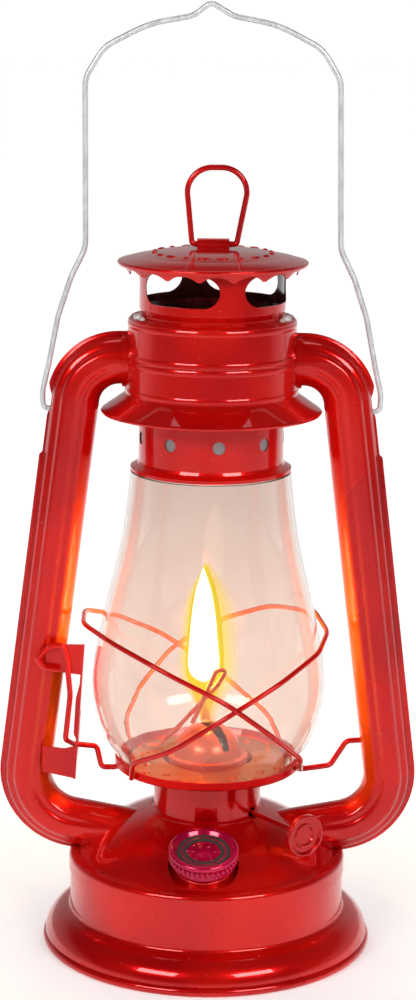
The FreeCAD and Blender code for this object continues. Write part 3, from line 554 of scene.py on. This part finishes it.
def filler_cap():
    """A beaded cap with a raised rim and a plain pressed star on its top."""
    outline = [
        (9.2, -6.9), (10.2, -6.9), (11.2, -6.5), (11.6, -5.9), (11.5, -5.2), (11.5, -2.6), (11.9, -2.2),
        (12.3, -1.7), (12.4, -1.1), (12.1, -0.4), (11.5, 0.0), (10.9, 0.0), (10.3, -0.4), (9.8, -1.3),
        (9.2, -1.8), (8.4, -1.9), (8.0, -1.5), (7.5, -1.5), (7.2, -1.9), (3.6, -1.9), (2.6, -1.4),
        (0.01, -1.2),
    ]
    body = lathe("filler_cap_shell", [(r * MM, z * MM) for r, z in outline], 96, FILLER_PLACE)
    cap = piece("filler_cap_shell", body, CRIMSON, "filler_cap")
    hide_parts("filler_cap")
    beads = []
    bead_count = 40
    lean = Matrix.Rotation(math.radians(24), 4, "X")
    bead_size = Matrix.Diagonal((0.8 * MM, 0.72 * MM, 1.5 * MM, 1))
    for i in range(bead_count):
        turn = Matrix.Rotation(2 * math.pi * i / bead_count, 4, "Z")
        beads.append(FILLER_PLACE @ turn @ Matrix.Translation((11.55 * MM, 0, -3.9 * MM)) @ lean @ bead_size)
    piece("filler_cap_beads", blobs("filler_cap_beads", beads), CRIMSON, "filler_cap")
    rays = []
    ray_count = 6
    ray_size = Matrix.Diagonal((1.7 * MM, 0.6 * MM, 0.5 * MM, 1))
    for i in range(ray_count):
        turn = Matrix.Rotation(2 * math.pi * i / ray_count, 4, "Z")
        rays.append(FILLER_PLACE @ turn @ Matrix.Translation((4.8 * MM, 0, -1.8 * MM)) @ ray_size)
    piece("filler_cap_star", blobs("filler_cap_star", rays), CRIMSON, "filler_cap")


filler_cap()

# ---------------------------------------------------------------- chimney cap

# Millimetres: the reach and height of the cap's edge, of the bend in its slope and of its flat centre.
CAP_EDGE = (32.3, 249.3)
CAP_BEND = (24.6, 251.2)
CAP_CENTRE = (6.5, 253.2)


def cap_surface(reach):
    """Height of the chimney cap's top in millimetres at a distance from its centre."""
    outer, inner, bulge = (CAP_EDGE, CAP_BEND, 0.8) if reach > CAP_BEND[0] else (CAP_BEND, CAP_CENTRE, 2.2)
    share = (outer[0] - max(inner[0], reach)) / (outer[0] - inner[0])
    return outer[1] + (inner[1] - outer[1]) * share + bulge * share * (1 - share)


def cap_pressings():
    """A plain ring of pressed leaves and dots round the chimney cap."""
    leaves = []
    count = 20
    reach = 20.5
    dot = Matrix.Diagonal((1.0 * MM, 1.0 * MM, 0.5 * MM, 1))
    leaf = Matrix.Diagonal((1.0 * MM, 2.3 * MM, 0.5 * MM, 1))
    slope = Matrix.Rotation(math.radians(8), 4, "Y")
    for i in range(count):
        turn = Matrix.Rotation(2 * math.pi * (i + 0.5) / count, 4, "Z")
        size = dot if i % 3 == 1 else leaf
        leaves.append(turn @ Matrix.Translation((reach * MM, 0, cap_surface(reach) * MM)) @ slope @ size)
    piece("chimney_cap_leaves", blobs("chimney_cap_leaves", leaves), RED, "chimney")


def cap_creases():
    """Fine ridges on the cap where the ring's strap is pressed into it, out to the brim."""
    rows = 40
    ridge = ((-0.6, -0.1), (-0.25, 0.16), (0.25, 0.16), (0.6, -0.1))
    for front, front_name in ((-1, "front"), (1, "back")):
        for side, side_name in ((-1, "left"), (1, "right")):
            points = []
            for i in range(rows + 1):
                share = i / rows
                y = front * (6.2 + 25.2 * share)
                x = side * (6.0 + 2.8 * share)
                for shift, lift in ridge:
                    reach = min(CAP_EDGE[0], math.hypot(x + shift, y))
                    points.append(Vector((x + shift, y, cap_surface(reach) + lift)) * MM)
            faces = [
                (4 * i + j, 4 * i + j + 1, 4 * i + j + 5, 4 * i + j + 4)[::front]
                for i in range(rows) for j in range(3)
            ]
            name = f"chimney_cap_crease_{front_name}_{side_name}"
            piece(name, mesh_from(name, points, faces), RED, "chimney")


cap_pressings()
cap_creases()


# ---------------------------------------------------------------- hood beads

HOOD_BEADS = [(29.5, 227.3), (30.25, 216.3), (30.4, 213.8), (30.45, 204.2)]
BEAD_BEND = 2.6
BEAD_PROUD = 0.22
BEAD_SPREAD = 23


def hood_beads():
    """Softly rounded beads along the hood: at its top edge, two round its waist, one over its brim."""
    for i, (reach, height) in enumerate(HOOD_BEADS):
        centre = reach + BEAD_PROUD - BEAD_BEND
        outline = []
        for j in range(9):
            angle = math.radians(BEAD_SPREAD * (j - 4) / 4)
            radius = centre + BEAD_BEND * math.cos(angle)
            outline.append((radius * MM, (height + BEAD_BEND * math.sin(angle)) * MM))
        piece(f"hood_bead_{i}", lathe(f"hood_bead_{i}", outline, 160), RED, "root")


hood_beads()


# ---------------------------------------------------------------- solder and plate burrs

def solder_blobs():
    """Lumps of solder where the flue guide is fixed into the hood."""
    hood_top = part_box("hood_top")[1].z
    reach = 26.6 * MM
    lumps = []
    for side in (-1, 1):
        for degrees, size in ((-17, 1.25), (-8, 0.8), (-25, 0.7)):
            angle = math.radians(degrees)
            spot = Vector((side * reach * math.cos(angle), reach * math.sin(angle), hood_top))
            scale = Matrix.Diagonal((1.6 * MM * size, 1.5 * MM * size, 1.5 * MM * size, 1))
            lumps.append(Matrix.Translation(spot) @ scale)
    piece("hood_solder", blobs("hood_solder", lumps), SOLDER, "root")


solder_blobs()


def plate_burrs():
    """Raised lips round the punched air holes of the globe plate."""
    floor_height = 68.35 * MM
    count = 24
    lips = []
    for i in range(count):
        angle = 2 * math.pi * (i + 0.5) / count
        reach = (22.6 if i % 2 else 26.2) * MM
        spot = Vector((reach * math.cos(angle), reach * math.sin(angle), floor_height))
        turn = Matrix.Rotation(angle, 4, "Z")
        lips.append(Matrix.Translation(spot) @ turn @ Matrix.Translation((1.3 * MM, 0, 0)))
    sized = [lip @ Matrix.Diagonal((0.55 * MM, 1.5 * MM, 0.7 * MM, 1)) for lip in lips]
    # The lips take the painted coppery glow of the flame's light.
    piece("globe_plate_burrs", blobs("globe_plate_burrs", sized), FLAMELIT_CONE, "globe_carrier")


plate_burrs()

# ---------------------------------------------------------------- flame

FLAME_X = -1.7 * MM
CORE_SHAPE = [
    (97.0, 0.5), (98.6, 3.4), (101.0, 5.1), (104.0, 5.6), (109.0, 5.3), (118.5, 4.5), (126.0, 3.6),
    (130.5, 2.8), (134.5, 1.7), (137.5, 0.7), (139.2, 0.1),
]
VEIL_SHAPE = [
    (82.0, 1.2), (86.0, 1.7), (91.0, 2.8), (95.0, 4.2), (99.0, 5.4), (104.0, 5.9), (112.0, 5.4),
    (122.0, 4.5), (130.0, 3.3), (136.0, 1.8), (141.0, 0.1),
]


def smoothed(shape, steps=4):
    """More points through a row of points, on a smooth curve."""
    line = []
    for i in range(len(shape) - 1):
        around = (shape[max(0, min(len(shape) - 1, k))] for k in range(i - 1, i + 3))
        before, start, end, after = (Vector(spot) for spot in around)
        square = 2 * before - 5 * start + 4 * end - after
        cube = 3 * start - before - 3 * end + after
        for j in range(steps):
            t = j / steps
            line.append(0.5 * (2 * start + (end - before) * t + square * t ** 2 + cube * t ** 3))
    return line + [Vector(shape[-1])]


def flame_skin(name, shape, x, grow, material):
    """A skin of the flame, oval in plan, from its half widths in millimetres at a row of heights."""
    segments = 40
    points = []
    rows = smoothed(shape)
    for height, half in rows:
        share = (height - shape[0][0]) / (shape[-1][0] - shape[0][0])
        reach = (half + grow * min(1.0, half / 4.0)) * MM
        lean = x - 0.5 * MM * share
        for j in range(segments):
            angle = 2 * math.pi * j / segments
            spot = Vector((lean + reach * math.cos(angle), 0.7 * reach * math.sin(angle), height * MM))
            points.append(spot)
    mesh = mesh_from(name, points, ring_faces(len(rows), segments))
    item = piece(name, mesh, material, "wick")
    item.visible_shadow = False
    item.visible_glossy = False


def flame():
    """A white core in yellow veils that fade outwards, more to the right than to the left."""
    white = flame_layer(
        "flame_core", (1.0, 0.92, 0.70), (1.0, 0.97, 0.86), 97 * MM, 110 * MM, 9.0, (1.0, 1.0))
    flame_skin("flame_core", CORE_SHAPE, FLAME_X, 0.0, white)
    veils = 6
    for i in range(veils):
        share = i / (veils - 1)
        cover = 0.26 - 0.20 * share
        yellow = flame_layer(
            f"flame_veil_{i}", (1.0, 0.50, 0.02), (1.0, 0.80, 0.02), 84 * MM, 100 * MM, 1.35,
            (cover, cover))
        veil_x = FLAME_X + (0.2 + 1.9 * share) * MM
        flame_skin(f"flame_veil_{i}", VEIL_SHAPE, veil_x, 5.5 * share, yellow)


flame()

# ---------------------------------------------------------------- studio


def studio_floor():
    half = 8.0
    corners = [(-half, -half, 0), (half, -half, 0), (half, half, 0), (-half, half, 0)]
    mesh = mesh_from("studio_floor", corners, [(0, 1, 2, 3)])
    floor = bpy.data.objects.new("studio_floor", mesh)
    bpy.context.scene.collection.objects.link(floor)
    paint(floor, pale_floor("pale_floor"))


def softbox(name, azimuth, elevation, width, height, power):
    """A rectangular light that faces the lamp; azimuth 0 is in front, positive towards +X."""
    aim = Vector((0, 0, 0.15))
    distance = 1.3
    turn = math.radians(azimuth)
    rise = math.radians(elevation)
    level = math.cos(rise)
    spot = aim + distance * Vector((math.sin(turn) * level, -math.cos(turn) * level, math.sin(rise)))
    data = bpy.data.lights.new(name, "AREA")
    data.shape = "RECTANGLE"
    data.size = width
    data.size_y = height
    data.energy = power
    light = bpy.data.objects.new(name, data)
    light.location = spot
    light.rotation_euler = (aim - spot).to_track_quat("-Z", "Y").to_euler()
    bpy.context.scene.collection.objects.link(light)


def flame_light(name, height, power, lit):
    """A small warm light in the flame that lights a collection of pieces."""
    data = bpy.data.lights.new(name, "POINT")
    data.energy = power
    data.color = (1.0, 0.50, 0.07)
    data.shadow_soft_size = 5 * MM
    light = bpy.data.objects.new(name, data)
    light.location = (FLAME_X, 0, height)
    light.visible_transmission = False
    light.light_linking.receiver_collection = lit
    bpy.context.scene.collection.objects.link(light)


def studio_world():
    """A dim room with a pale horizon and a tall pale wall behind the lamp, both dimmer in reflections."""
    world = bpy.data.worlds.new("studio_world")
    bpy.context.scene.world = world
    world.use_nodes = True
    tree = world.node_tree
    pale = 1.05
    dim = 0.12

    def calculate(operation, *values):
        """A math node; each value is a number or an output."""
        node = tree.nodes.new("ShaderNodeMath")
        node.operation = operation
        for socket, value in zip(node.inputs, values):
            if isinstance(value, float):
                socket.default_value = value
            else:
                tree.links.new(value, socket)
        return node.outputs[0]

    def fade(value, low, high):
        """From pale at the low value to dim at the high one."""
        node = tree.nodes.new("ShaderNodeMapRange")
        tree.links.new(value, node.inputs["Value"])
        for name, number in (("From Min", low), ("From Max", high), ("To Min", pale), ("To Max", dim)):
            node.inputs[name].default_value = number
        return node.outputs["Result"]

    split = tree.nodes.new("ShaderNodeSeparateXYZ")
    tree.links.new(tree.nodes.new("ShaderNodeTexCoord").outputs["Generated"], split.inputs[0])
    horizon = fade(split.outputs["Z"], 0.02, 0.10)
    wall = fade(calculate("MULTIPLY_ADD", split.outputs["Y"], -0.45, split.outputs["Z"]), 0.0, 0.25)
    reflected = tree.nodes.new("ShaderNodeLightPath").outputs["Is Glossy Ray"]
    share = calculate("MULTIPLY_ADD", reflected, -0.6, 1.0)
    strength = calculate("MULTIPLY", calculate("MAXIMUM", horizon, wall), share)
    background = tree.nodes["Background"]
    background.inputs["Color"].default_value = (1, 1, 1, 1)
    tree.links.new(strength, background.inputs["Strength"])


def photo_camera():
    data = bpy.data.cameras.new("camera")
    data.lens = 90.86
    data.sensor_width = 36
    data.shift_x = -0.0019
    data.shift_y = 0.0482
    camera = bpy.data.objects.new("camera", data)
    downward = 13.24
    pitch = Matrix.Rotation(math.radians(90 - downward), 4, "X")
    roll = Matrix.Rotation(math.radians(0.64), 4, "Z")
    camera.matrix_world = Matrix.Translation((0, -0.8761, 0.3526)) @ pitch @ roll
    bpy.context.scene.collection.objects.link(camera)
    bpy.context.scene.camera = camera


studio_floor()
softbox("softbox_left", -36, 28, 0.62, 0.30, 7.0)
softbox("softbox_right", 36, 28, 0.62, 0.30, 7.0)
softbox("softbox_top", 180, 70, 0.8, 0.5, 2.0)
lit_pieces = bpy.data.collections.new("lit_by_the_flame")
for item in bpy.context.scene.objects:
    if item.type == "MESH" and item.name != "globe":
        lit_pieces.objects.link(item)
for rank, level in enumerate((98, 108, 118, 128)):
    flame_light(f"flame_light_{rank}", level * MM, 0.05, lit_pieces)
studio_world()
photo_camera()
bpy.context.scene.view_settings.view_transform = "Standard"
